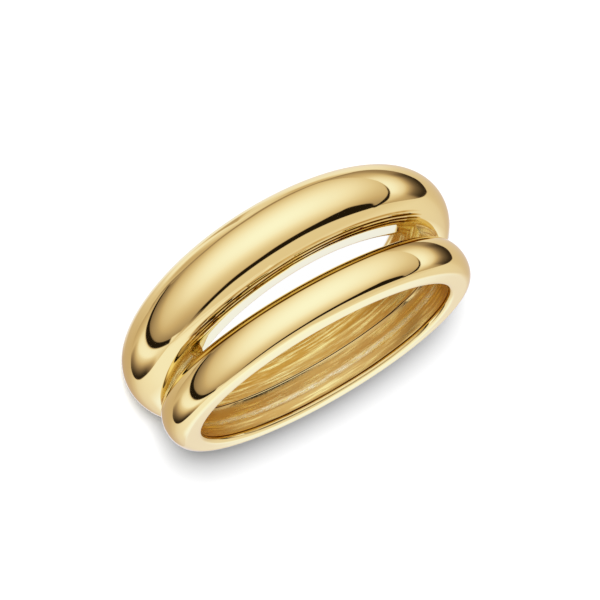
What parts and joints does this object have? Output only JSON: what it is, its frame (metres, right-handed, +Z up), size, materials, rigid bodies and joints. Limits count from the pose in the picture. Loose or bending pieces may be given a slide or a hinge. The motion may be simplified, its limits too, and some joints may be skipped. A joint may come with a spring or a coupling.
{
  "type": "split dome ring",
  "caption": "Finger ring of polished domed bands cast in one piece, with a long open slot between them at the front and channels scooped out inside the hoop.",
  "frame": {"origin": "centre of the finger hole in the plane of the far rim, which rests on the floor", "axes": "+Z up from the floor, about 4.5 degrees off the finger hole's axis; -Y towards the front, where the slot is; +X to the right seen from the front"},
  "size_m": [0.0224, 0.0223, 0.0084],
  "materials": {
    "polished_gold": "mirror polished gold plate, rough as cast in the scooped channels"
  },
  "bodies": {
    "root": {"double_band": "polished_gold"}
  },
  "joints": []
}
